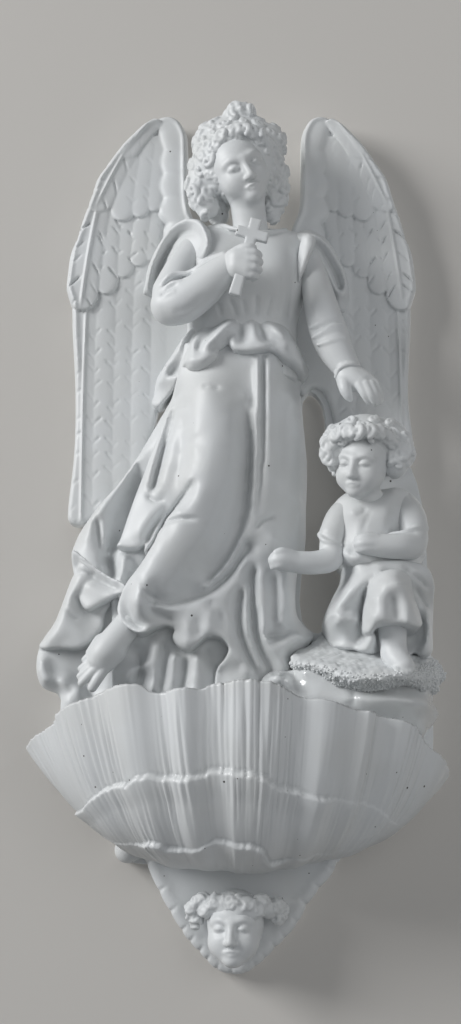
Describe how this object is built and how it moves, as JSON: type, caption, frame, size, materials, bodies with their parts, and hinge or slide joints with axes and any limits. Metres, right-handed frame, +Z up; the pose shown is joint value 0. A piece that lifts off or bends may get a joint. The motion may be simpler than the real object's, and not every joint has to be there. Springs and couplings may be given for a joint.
{
  "type": "holy water stoup",
  "caption": "Wall-hung porcelain stoup: a winged angel with a cross guards a kneeling child above a fluted shell basin, with a cherub mask on a scalloped corbel below.",
  "frame": {"origin": "a point on the flat back face, behind the angel's gown, where the stoup lies against the wall", "axes": "+Z up from the corbel to the wings, +Y out of the back into the wall, +X to the viewer's right"},
  "size_m": [0.163, 0.0689, 0.346],
  "materials": {
    "biscuit_porcelain": "unglazed white biscuit porcelain, satin, with a few dark specks",
    "glazed_porcelain": "white porcelain under a thin clear glaze"
  },
  "bodies": {
    "root": {"back_plate": "biscuit_porcelain", "left_wing": "biscuit_porcelain", "right_wing": "biscuit_porcelain", "shell_basin": "glazed_porcelain", "corbel": "biscuit_porcelain", "cherub_face": "biscuit_porcelain", "cherub_curls": "biscuit_porcelain", "bodice": "biscuit_porcelain", "gown": "biscuit_porcelain", "gown_train": "biscuit_porcelain", "bare_foot": "biscuit_porcelain", "right_oversleeve": "biscuit_porcelain", "left_oversleeve": "biscuit_porcelain", "waist_overfold": "biscuit_porcelain", "angel_head": "biscuit_porcelain", "angel_hair": "biscuit_porcelain", "right_arm": "biscuit_porcelain", "cross": "biscuit_porcelain", "right_hand": "biscuit_porcelain", "left_arm": "biscuit_porcelain", "left_hand": "biscuit_porcelain", "rock_ledge": "glazed_porcelain", "mossy_rock": "biscuit_porcelain", "child_torso": "biscuit_porcelain", "child_tunic": "biscuit_porcelain", "child_leg": "biscuit_porcelain", "child_head": "biscuit_porcelain", "child_curls": "biscuit_porcelain", "child_right_arm": "biscuit_porcelain", "child_left_arm": "biscuit_porcelain"}
  },
  "joints": []
}
